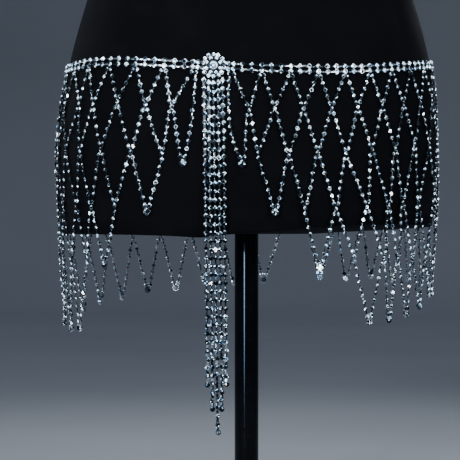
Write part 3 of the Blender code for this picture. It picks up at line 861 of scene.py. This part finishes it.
def light_the_facets(stones, parts, seed):
    """Paints each facet's brightness: each stone painted as lit from above, and painted glints
    where some facets flash.
    """
    chance = np.random.default_rng(seed)
    lights, fires = [], []
    for unit, (places, _, _), level in parts:
        normals = facet_normals(unit)
        count, facets = len(places), len(normals)
        turn = chance.normal(*LIT_FROM, (count, 1))
        side = normals[:, 0] * np.cos(turn) + normals[:, 1] * np.sin(turn)
        level = np.reshape(level, (-1, 1))
        bright = np.maximum(level, 0)
        light = chance.normal(*STONE_LIGHT, (count, 1)) + level + LIT_SIDE * side
        light += chance.normal(0, FACET_SPREAD, (count, facets)) * (1 + LIVELIER * bright)
        light += (normals[:, 2] > TABLE_FACING) * chance.normal(*TABLE_LIGHT, (count, 1))
        light = np.clip(light, 0.0, CEILING + CEILING_RISE * np.clip(level, *CEILING_LEVELS))
        odds = FLASH_ODDS + FLASH_ODDS_RISE * bright
        light[chance.random((count, facets)) < odds] = FLASH
        sparkling = chance.random((count, 1)) < SPARKLE_ODDS
        light[sparkling & (chance.random((count, facets)) < SPARKLE_SHARE)] = 1.0
        lights.append(light.reshape(-1))
        fire = chance.random((count, facets)) * (chance.random((count, 1)) < FIRE_SHARE)
        fires.append(fire.reshape(-1))
    set_on_faces(stones.data, "facet_light", np.concatenate(lights))
    set_on_faces(stones.data, "facet_fire", np.concatenate(fires))


def shine_of(links):
    """Share of a net's links given a painted highlight: most of those near the rosette are."""
    away = np.linalg.norm(links[0] - front.point(0, BRIGHT_DEPTH, front.level), axis=1)
    near = np.exp(-(away / BRIGHT_REACH) ** 2)
    return BRIGHT_ELSEWHERE + (BRIGHT_NEAR_ROSETTE - BRIGHT_ELSEWHERE) * near


def tone_and_light_the_metal(settings, parts, seed, shine, metal):
    """Gives each cup and each link its own tone: the cups' mean is painted light or shade, the
    links are painted dark as shade, and few get a painted highlight.
    """
    chance = np.random.default_rng(seed)
    tones = []
    for unit, (places, _, _) in parts:
        count = len(places)
        if unit is link_unit:
            tone = np.clip(chance.normal(*LINK_TONE, count), 0, LINK_TONE_LIMIT)
            # Painted highlight: the brightest tone on the links picked by their shine
            tone[chance.random(count) < shine] = 1.0
        else:
            tone = np.clip(chance.normal(metal, CUP_TONE_SPREAD, count), 0, 1)
        tones.append(np.repeat(tone, len(unit.data.polygons)))
    set_on_faces(settings.data, "metal_tone_and_light", np.concatenate(tones))


def facet_normals(unit):
    return np.array([face.normal for face in unit.data.polygons])


def ridden(piece, slot, *nodes):
    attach(piece, "root")
    if nodes:
        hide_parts(*nodes)


# ---- Finishes

def add_node(tree, kind, inputs, **settings):
    """A shader node with its settings, and its inputs from numbers or from other nodes."""
    made = tree.nodes.new(f"ShaderNode{kind}")
    for name, value in settings.items():
        setattr(made, name, value)
    for socket, value in inputs.items():
        if isinstance(value, bpy.types.NodeSocket):
            tree.links.new(value, made.inputs[socket])
        else:
            made.inputs[socket].default_value = value
    return made


def add_math(tree, operation, *values):
    return add_node(tree, "Math", dict(enumerate(values)), operation=operation).outputs[0]


def grain_group():
    """Fine unevenness of a finish: a roughness between two values, a mask and a height."""
    group = bpy.data.node_groups.new("surface_grain", "ShaderNodeTree")
    for names, way in ((("Scale", "Low", "High"), "INPUT"),
                       (("Roughness", "Mask", "Height"), "OUTPUT")):
        for name in names:
            group.interface.new_socket(name, in_out=way, socket_type="NodeSocketFloat")
    given = group.nodes.new("NodeGroupInput").outputs
    result = group.nodes.new("NodeGroupOutput").inputs
    where = add_node(group, "TexCoord", {}).outputs["Object"]
    broad = add_node(group, "TexNoise", {
        "Vector": where, "Scale": given["Scale"], "Detail": 5,
    }).outputs["Fac"]
    fine = add_node(group, "TexNoise", {
        "Vector": where, "Scale": add_math(group, "MULTIPLY", given["Scale"], 7), "Detail": 2,
    }).outputs["Fac"]
    spread = add_node(group, "MapRange", {
        "Value": broad, "From Min": 0.3, "From Max": 0.7,
        "To Min": given["Low"], "To Max": given["High"],
    }).outputs["Result"]
    for name, value in (("Roughness", spread), ("Mask", broad), ("Height", fine)):
        group.links.new(value, result[name])
    return group


GRAIN = grain_group()


def finish(name, **sockets):
    """A new material with uniform values on its shader's own sockets."""
    made = bpy.data.materials.new(name)
    made.use_nodes = True
    shader = made.node_tree.nodes["Principled BSDF"]
    for socket, value in sockets.items():
        shader.inputs[socket.replace("_", " ")].default_value = value
    return made, made.node_tree, shader


def add_grain(tree, shader, scale, low, high):
    """Roughness from the grain group; gives the group's mask and height back."""
    grain = add_node(
        tree, "Group", {"Scale": scale, "Low": low, "High": high}, node_tree=GRAIN
    ).outputs
    tree.links.new(grain["Roughness"], shader.inputs["Roughness"])
    return grain["Mask"], grain["Height"]


def add_bump(tree, shader, height, strength, distance):
    relief = add_node(
        tree, "Bump", {"Strength": strength, "Distance": distance, "Height": height}
    )
    tree.links.new(relief.outputs["Normal"], shader.inputs["Normal"])


def ramp(tree, value, stops, target=None):
    """A colour ramp with stops of place and colour, fed by a value."""
    made = tree.nodes.new("ShaderNodeValToRGB")
    elements = made.color_ramp.elements
    elements[0].position, elements[0].color = stops[0][0], (*stops[0][1], 1)
    elements[1].position, elements[1].color = stops[-1][0], (*stops[-1][1], 1)
    for position, colour in stops[1:-1]:
        elements.new(position).color = (*colour, 1)
    tree.links.new(value, made.inputs["Fac"])
    if target is not None:
        tree.links.new(made.outputs["Color"], target)
    return made.outputs["Color"]


def attribute(tree, name):
    return add_node(tree, "Attribute", {}, attribute_name=name).outputs["Fac"]


def cut_crystal():
    """Foil-backed cut glass whose colour is painted light: each facet's painted brightness, and
    painted glints that glow where facets flash.
    """
    made, tree, shader = finish(
        "cut_crystal", Metallic=0.85, Coat_Weight=0.5, Coat_Roughness=0.02,
        Emission_Strength=14.0,
    )
    facet = attribute(tree, "facet_light")
    # Base colour: each facet's painted brightness
    ramp(tree, facet, (
        (0.00, (0.004, 0.008, 0.014)),
        (0.34, (0.026, 0.052, 0.085)),
        (0.54, (0.190, 0.330, 0.470)),
        (0.75, (0.660, 0.870, 1.000)),
        (1.00, (0.900, 1.000, 1.000)),
    ), shader.inputs["Base Color"])
    # Painted glints: the brightest facets glow
    flash = ramp(tree, facet, (
        (0.30, (0.000, 0.000, 0.000)),
        (0.58, (0.002, 0.003, 0.004)),
        (0.82, (0.032, 0.040, 0.046)),
        (0.90, (0.100, 0.118, 0.130)),
        (0.95, (0.340, 0.390, 0.430)),
        (1.00, (0.800, 0.800, 0.800)),
    ))
    # Painted fire: the glints are tinted blue, and some warm
    tint = ramp(tree, attribute(tree, "facet_fire"), (
        (0.00, (0.86, 0.95, 1.00)),
        (0.40, (0.55, 0.80, 1.00)),
        (0.90, (0.60, 0.70, 1.00)),
        (0.94, (1.00, 0.62, 0.30)),
    ))
    tinted = add_node(
        tree, "Mix", {"Factor": 1.0, "A": flash, "B": tint}, data_type="RGBA",
        blend_type="MULTIPLY",
    )
    tree.links.new(tinted.outputs["Result"], shader.inputs["Emission Color"])
    _, fine = add_grain(tree, shader, 900, 0.04, 0.12)
    add_bump(tree, shader, fine, 0.05, 0.00002)
    return made


def grained(name, grain, bump, stops, tone=None, **sockets):
    """A finish whose colour, roughness and relief come from its grain, in patches."""
    made, tree, shader = finish(name, **sockets)
    patches, fine = add_grain(tree, shader, *grain)
    add_bump(tree, shader, fine, *bump)
    if tone is not None:
        patches = add_math(tree, "MULTIPLY_ADD", patches, 0.5, attribute(tree, tone))
    ramp(tree, patches, stops, shader.inputs["Base Color"])
    return made


def black_jersey():
    """The form's cover: matt knitted jersey with fine vertical ribs and a faint blue sheen."""
    made, tree, shader = finish(
        "black_jersey", Sheen_Weight=0.03, Sheen_Roughness=0.4,
        Sheen_Tint=(0.35, 0.5, 0.8, 1), Specular_IOR_Level=0.08,
    )
    patches, fine = add_grain(tree, shader, 38, 0.78, 0.92)
    ramp(tree, patches, (
        (0.30, (0.0034, 0.0036, 0.0048)),
        (0.55, (0.0048, 0.0051, 0.0068)),
        (0.75, (0.0068, 0.0073, 0.0096)),
    ), shader.inputs["Base Color"])
    where = add_node(tree, "TexCoord", {}).outputs["Object"]
    split = add_node(tree, "SeparateXYZ", {"Vector": where}).outputs
    around = add_math(tree, "ARCTAN2", split["X"], split["Y"])
    ribs, rows = (
        add_math(tree, "SINE", add_math(tree, "MULTIPLY", source, count))
        for source, count in ((around, 760), (split["Z"], 4200))
    )
    add_bump(tree, shader, add_math(tree, "MULTIPLY_ADD", ribs, rows, fine), 0.25, 0.0002)
    return made


# ---- The jewellery

crystal = cut_crystal()
jersey = black_jersey()
# Silver plate on the cups and links, each with its own tone, partly painted light and shade;
# the bright silver of the larger smooth pieces; and the rosette's plate, painted dark as shade
# between the stones
silver = grained("silver_plate", (420, 0.12, 0.34), (0.12, 0.00004), (
    (0.15, (0.010, 0.013, 0.018)),
    (0.50, (0.110, 0.155, 0.200)),
    (0.80, (0.420, 0.530, 0.620)),
    (1.00, (0.840, 0.920, 0.980)),
), tone="metal_tone_and_light", Metallic=1.0)
bright_silver = grained("polished_silver", (420, 0.12, 0.30), (0.12, 0.00004), (
    (0.25, (0.50, 0.56, 0.62)),
    (0.50, (0.74, 0.80, 0.86)),
    (0.70, (0.90, 0.93, 0.96)),
), Metallic=1.0)
painted_shade_silver = grained("shaded_silver", (500, 0.30, 0.50), (0.15, 0.00005), (
    (0.30, (0.010, 0.014, 0.018)),
    (0.70, (0.080, 0.096, 0.115)),
), Metallic=1.0)
# Stoved black enamel on the pole and its base, with faint orange peel
enamel = grained("gloss_enamel", (60, 0.05, 0.10), (0.02, 0.00005), (
    (0.30, (0.0015, 0.0018, 0.0025)),
    (0.70, (0.0040, 0.0045, 0.0060)),
), Coat_Weight=0.10, Coat_Roughness=0.03, Specular_IOR_Level=0.08)
# The pale floor and the wall that it curves up into
paper = grained("studio_paper", (3, 0.75, 0.85), (0.02, 0.001), (
    (0.3, (0.50, 0.52, 0.56)),
    (0.7, (0.54, 0.56, 0.60)),
), Specular_IOR_Level=0.2)

cup_unit = model_cup()
stone_unit = model_stone()
link_unit = model_link()
tip_stone_unit = model_large_stone()


def cup_chain(name, cups, links, loose, seed, nodes, level, shine, metal):
    """A length of cup chain as two pieces: its cups and links, and its stones."""
    places, axes, sizes = cups
    cups = (places, loosened(axes, loose, seed), sizes)
    parts = [(cup_unit, cups)]
    if links is not None:
        spots, turns, spans = links
        turns = loosened(turns, LINK_TILT, seed + TILT_SEED)
        parts.append((link_unit, (spots, turns, spans)))
    settings = joined(f"{name}_cups", parts, silver, CUP_SOFT)
    tone_and_light_the_metal(settings, parts, seed + TONE_SEED, shine, metal)
    ridden(settings, "silver_setting", *nodes)
    large = sizes[:, 0] == TIP_STONE_SIZE
    level = np.broadcast_to(level, large.shape)
    small = (places[~large], cups[1][~large], sizes[~large])
    cut = [(stone_unit, small, level[~large])]
    if large.any():
        tips = (places[large], cups[1][large], np.ones((large.sum(), 3)))
        cut.append((tip_stone_unit, tips, level[large] + TIP_STONE_LEVEL))
    stones = joined(f"{name}_stones", cut, crystal)
    light_the_facets(stones, cut, seed + LIGHT_SEED)
    ridden(stones, "crystal", *nodes)


front = Spot(0)

for number, (hand, side) in enumerate((("right", 1), ("left", -1))):
    net_cups, net_links = net_plan(side).laid(NET_LINK)
    net_shine = shine_of(net_links)
    net_links[2][:, 0] *= 1 + BRIGHT_WIDER * net_shine
    # Painted light: the net's cups are painted brighter below the form, the links of the net, belt
    # and clusters get painted highlights, and one cluster's stones are painted brighter
    cup_chain(
        f"net_{hand}", net_cups, net_links, NET_LOOSE, 10 + number, (f"net_{hand}",),
        NET_LEVEL, net_shine, np.interp(net_cups[0][:, 2], *NET_CUPS_PAINTED_LIGHT),
    )
    cup_chain(
        f"belt_{hand}", *belt_plan(side).laid(BELT_LINK), BELT_LOOSE, 20 + number,
        (f"belt_upper_{hand}", f"belt_lower_{hand}"), BELT_LEVEL, BRIGHT_IN_BELT, BELT_METAL,
    )
    cup_chain(
        f"cluster_{hand}", *cluster_plan(side).laid(BELT_LINK), CLUSTER_LOOSE, 30 + number,
        (f"side_link_{hand}",), CLUSTER_LEVEL + CLUSTER_LEVEL_SWING * side, 1.0,
        CLUSTER_METAL,
    )

tassel_cups, tassel_links, tassel_shine = tassel_laid(front)
tassel_heights = tassel_cups[0][:, 2]
tassel_twisted = np.interp(tassel_heights, *TASSEL_TWISTED)[:, None]
# The tassel's stones and cups are painted darker towards its foot, and its links get painted
# highlights
cup_chain(
    "tassel", tassel_cups, tassel_links, np.interp(tassel_twisted, (0, 1), TASSEL_LOOSE), 40,
    ("tassel",), np.interp(tassel_heights, *TASSEL_STONES_PAINTED_LIGHT), tassel_shine,
    np.interp(tassel_heights, *TASSEL_CUPS_PAINTED_SHADE),
)


def rosette_depth(spot):
    edges = ((0, 0), (1, 0), (-1, 0), (0, 1), (0, -1))
    return max(
        spot.reach(x * ROSETTE_RADIUS, spot.level + z * ROSETTE_RADIUS) for x, z in edges
    )


def ring_of_cups(spot, depth, circle, count, size, start):
    """Places, axes and sizes of a ring of cups round the spot's middle."""
    turns = 2 * math.pi * (np.arange(count) + start) / count
    places = np.array([
        spot.point(circle * math.sin(a), depth, spot.level + circle * math.cos(a))
        for a in turns
    ])
    sizes = np.full((count, 3), size)
    return places, np.tile(spot.axes(), (count, 1, 1)), sizes


def model_rosette_plate():
    """A thin round plate with a raised edge."""
    plate = start_cylinder(48, PLATE_RADIUS, ROSETTE_PLATE)
    pick(plate, facing_up)
    for step in PLATE_STEPS:
        step_in(*step)
    return done(plate)


def model_bezel():
    """The collar round the large stone."""
    bezel = start_cylinder(32, COLLAR_RADIUS, COLLAR_HEIGHT)
    pick(bezel, facing_up)
    taper(COLLAR_TAPER)
    for step in COLLAR_STEPS:
        step_in(*step)
    return done(bezel)


def make_rosette(spot):
    depth = rosette_depth(spot)
    plate = moved_to(model_rosette_plate(), spot, spot.point(0, depth, spot.level))
    # The plate is painted dark as shade between the stones
    dressed(plate, "rosette_plate_silver", painted_shade_silver)
    ridden(plate, "silver_setting", "rosette_plate")
    depth += ROSETTE_PLATE
    for name, nodes, circle, count, size, first, loose, seed, level, metal in ROSETTE_RINGS:
        ring = ring_of_cups(spot, depth, circle, count, size, first)
        cup_chain(name, ring, None, loose, seed, nodes, level, 0.0, metal)
    centre = spot.point(0, depth, spot.level)
    bezel = moved_to(model_bezel(), spot, centre)
    dressed(bezel, "rosette_bezel", bright_silver)
    ridden(bezel, "silver_setting")
    stone = model_large_stone()
    reach = [math.hypot(face.center.x, face.center.y) for face in stone.data.polygons]
    dressed(moved_to(stone, spot, centre), "rosette_large_stone", crystal)
    chance = np.random.default_rng(LARGE_SEED)
    # Painted light on the large stone: a bright middle, a darker ring and a bright edge, and
    # painted fire
    light = np.interp(reach, *LARGE_RINGS) + chance.normal(0, LARGE_SPREAD, len(reach))
    set_on_faces(stone.data, "facet_light", np.clip(light, 0, LARGE_CEILING))
    set_on_faces(stone.data, "facet_fire", chance.random(len(reach)) * LARGE_FIRE)
    ridden(stone, "crystal", "rosette_center")


make_rosette(front)


def make_belt_end(hand, side):
    """The smooth bar that gathers the belt's two rows at the clasp."""
    spot = Spot(side * (BELT_END + BELT_END_LENGTH / 2))
    low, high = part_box(f"belt_end_{hand}")
    bar = start(
        bpy.ops.mesh.primitive_cube_add, size=1, location=(0, 0, BAR_DEPTH / 2),
        scale=(BELT_END_LENGTH, high.z - low.z, BAR_DEPTH),
    )
    bpy.ops.mesh.select_all(action="SELECT")
    bpy.ops.mesh.bevel(offset=BAR_EDGE, segments=3, affect="EDGES")
    done(bar)
    moved_to(bar, spot, spot.point(0, spot.reach(0, spot.level), (low.z + high.z) / 2))
    dressed(bar, f"belt_end_bar_{hand}", bright_silver, SOFT)
    ridden(bar, "silver_setting", f"belt_end_{hand}")


for hand, side in (("right", 1), ("left", -1)):
    make_belt_end(hand, side)


def make_clasp(spot):
    """The ring and the claw that hooks into it."""
    face = CLASP_HALF_GAP - BELT_END_LENGTH - SEAM
    radius, wire = CLASP_RING
    middle = face - radius - wire
    depth = spot.reach(0, spot.level) + CLASP_STAND_OFF
    ring = start(
        bpy.ops.mesh.primitive_torus_add, **RING_STEPS, major_radius=radius,
        minor_radius=wire, location=spot.point(middle, depth, spot.level),
        rotation=(0, 0, spot.turn),
    )
    dressed(done(ring), "clasp_ring_wire", bright_silver, ALL_SOFT)
    ridden(ring, "silver_setting", "clasp_ring")

    near = middle - radius + wire + CLASP_WIRE + 2 * SEAM
    far = -face + CLASP_WIRE
    long, tall = (near - far) / 2, CLASP_CLAW_HEIGHT

    def bent(co):
        turn = math.atan2(co.y, co.x)
        out = math.hypot(co.x, co.y) - 1
        thick = CLASP_WIRE * (1 + CLAW_SWELL * math.sin(turn) ** 2) / CLAW_TUBE
        across = (long + out * thick) * math.cos(turn)
        down = (tall + out * thick) * math.sin(turn)
        return np.array((-across, down, co.z * thick * CLAW_FLATNESS))

    claw = start(
        bpy.ops.mesh.primitive_torus_add, **RING_STEPS, major_radius=1, minor_radius=CLAW_TUBE
    )
    moved_to(done(claw), spot, spot.point((near + far) / 2, depth, spot.level), bent)
    dressed(claw, "clasp_claw_wire", bright_silver, ALL_SOFT)
    ridden(claw, "silver_setting", "clasp_claw")


make_clasp(Spot(HALF_GIRTH))

for unit in (cup_unit, stone_unit, tip_stone_unit, link_unit):
    bpy.data.objects.remove(unit)


# ---- Form and stand

def form_cover():
    """The hip form in its jersey: rounded sections, a soft top edge and a turned hem."""
    straight = FORM_HEIGHT - FORM_TOP_ROUND
    cover = start_cylinder(FORM_SIDES, BLANK_RADIUS, FORM_HEIGHT, FORM_BOTTOM)
    steps = round(straight / FORM_RING_STEP)
    levels = [FORM_BOTTOM + straight * i / steps for i in range(1, steps + 1)]
    levels += [
        FORM_BOTTOM + FORM_HEIGHT - FORM_TOP_ROUND * (1 - math.sin(math.radians(a)))
        for a in (22.5, 45, 67.5)
    ]
    levels += [FORM_BOTTOM + above for above, _ in HEM]
    for level in levels:
        bpy.ops.mesh.select_all(action="SELECT")
        bpy.ops.mesh.bisect(plane_co=(0, 0, level), plane_no=(0, 0, 1))
    pick(cover, facing_down)
    rise(0)
    taper(BLANK_FLOOR_SHARE)
    rise(0)
    taper((POLE_RADIUS + SOCKET_GAP) / BLANK_RADIUS / BLANK_FLOOR_SHARE)
    rise(FORM_SOCKET_DEPTH)
    done(cover)
    hem = [0.0] + [above for above, _ in HEM], [-HEM_ROLL] + [out for _, out in HEM]
    for vertex in cover.data.vertices:
        if math.hypot(vertex.co.x, vertex.co.y) < BLANK_WALL_FROM:
            continue
        above = vertex.co.z - FORM_BOTTOM
        over = max(0, above - straight) / FORM_TOP_ROUND
        out = float(np.interp(above, *hem))
        if over > 0:
            out = -FORM_TOP_ROUND * (1 - math.sqrt(max(0, 1 - over**2)))
        angle = math.atan2(vertex.co.x, -vertex.co.y)
        x, y = outline(angle, through_rows(FORM_ROWS, above), out)
        lift = float(through_rows(HEM_ROWS, math.degrees(angle))[0])
        vertex.co = (float(x), float(y), vertex.co.z + lift * max(0, 1 - above / HEM_FADE))
    dressed(cover, "form_cover", jersey, SOFT)
    ridden(cover, "form_cover", "form_torso")


def pole_tube():
    """The pole, with its ends eased where they enter the form and the base."""
    foot = BASE_SOCKET_FLOOR + SOCKET_GAP
    head = FORM_BOTTOM + FORM_SOCKET_DEPTH - SOCKET_GAP
    pole = start_cylinder(96, POLE_RADIUS, head - foot, foot)
    pick(pole, lambda centre, normal: abs(normal.z) > FACING)
    bpy.ops.mesh.bevel(offset=POLE_EDGE, segments=2, affect="EDGES")
    dressed(done(pole), "pole_tube", enamel, POLE_SOFT)
    ridden(pole, "stand_enamel", "stand_pole")


def base_plate():
    """The round base: an eased rim, and a boss with the pole's socket."""
    base = start_cylinder(128, BASE_RADIUS, BASE_THICKNESS)
    pick(base, facing_up)
    bpy.ops.mesh.bevel(offset=BASE_EDGE, segments=4, affect="EDGES")
    pick(base, lambda centre, normal: normal.z > FLAT and centre.xy.length < BOSS_RADIUS / 2)
    step_in(BASE_RING, 0)
    taper(BOSS_RADIUS / (BASE_RADIUS - BASE_EDGE - BASE_RING))
    rise(BOSS_HEIGHT - BASE_THICKNESS - BASE_EDGE)
    rise(BASE_EDGE)
    taper((BOSS_RADIUS - BASE_EDGE) / BOSS_RADIUS)
    rise(0)
    taper((POLE_RADIUS + SOCKET_GAP) / (BOSS_RADIUS - BASE_EDGE))
    rise(BASE_SOCKET_FLOOR - BOSS_HEIGHT)
    dressed(done(base), "base_plate", enamel, SOFT)
    ridden(base, "stand_enamel", "stand_base")


form_cover()
pole_tube()
base_plate()


# ---- Floor, light and camera

def studio_cove():
    """A pale round floor that curves up into a wall all round."""
    cove = start(
        bpy.ops.mesh.primitive_circle_add, vertices=96, radius=COVE_RADIUS,
        fill_type="NOTHING",
    )
    bpy.ops.mesh.select_mode(type="EDGE")
    bpy.ops.mesh.select_all(action="SELECT")
    bpy.ops.mesh.edge_face_add()
    bpy.ops.mesh.select_all(action="DESELECT")
    shape = bmesh.from_edit_mesh(cove.data)
    for edge in shape.edges:
        edge.select_set(edge.is_boundary)
    bmesh.update_edit_mesh(cove.data)
    radius, height = COVE_RADIUS, 0.0
    for step in range(1, COVE_STEPS + 1):
        turn = math.pi / 2 * step / COVE_STEPS
        wider = COVE_RADIUS + COVE_CURVE * math.sin(turn)
        higher = COVE_CURVE * (1 - math.cos(turn))
        bpy.ops.mesh.extrude_edges_move(
            TRANSFORM_OT_translate={"value": (0, 0, higher - height)}
        )
        taper(wider / radius)
        radius, height = wider, higher
    bpy.ops.mesh.extrude_edges_move(TRANSFORM_OT_translate={"value": (0, 0, COVE_WALL)})
    bpy.ops.object.mode_set(mode="OBJECT")
    dressed(cove, "studio_cove", paper, COVE_SOFT)


studio_cove()


def around_axis(azimuth, distance, height):
    turn = math.radians(azimuth)
    return Vector((distance * math.sin(turn), -distance * math.cos(turn), height))


for name, azimuth, distance, height, wide, tall, power, spread, colour, aim in SOFTBOXES:
    lamp = bpy.data.lights.new(name, "AREA")
    lamp.shape = "RECTANGLE"
    lamp.size, lamp.size_y = wide, tall
    lamp.spread = math.radians(spread)
    lamp.energy = power
    lamp.color = colour
    holder = bpy.data.objects.new(name, lamp)
    bpy.context.scene.collection.objects.link(holder)
    holder.visible_camera = False
    holder.location = around_axis(azimuth, distance, height)
    towards = Vector((0, 0, aim)) - holder.location
    holder.rotation_euler = towards.to_track_quat("-Z", "Y").to_euler()

world = bpy.data.worlds.new("studio_air")
world.use_nodes = True
air = world.node_tree.nodes["Background"]
air.inputs["Color"].default_value = AIR_COLOUR
air.inputs["Strength"].default_value = AIR_STRENGTH
bpy.context.scene.world = world

eye = bpy.data.cameras.new("photo_view")
eye.sensor_width = CAMERA_SENSOR
eye.lens = CAMERA_LENS
eye.shift_x = CAMERA_SHIFT
camera = bpy.data.objects.new("photo_view", eye)
bpy.context.scene.collection.objects.link(camera)
camera.location = around_axis(CAMERA_AZIMUTH, CAMERA_DISTANCE, CAMERA_HEIGHT)
camera.rotation_euler = (math.radians(90), 0, math.radians(CAMERA_AZIMUTH))
bpy.context.scene.camera = camera
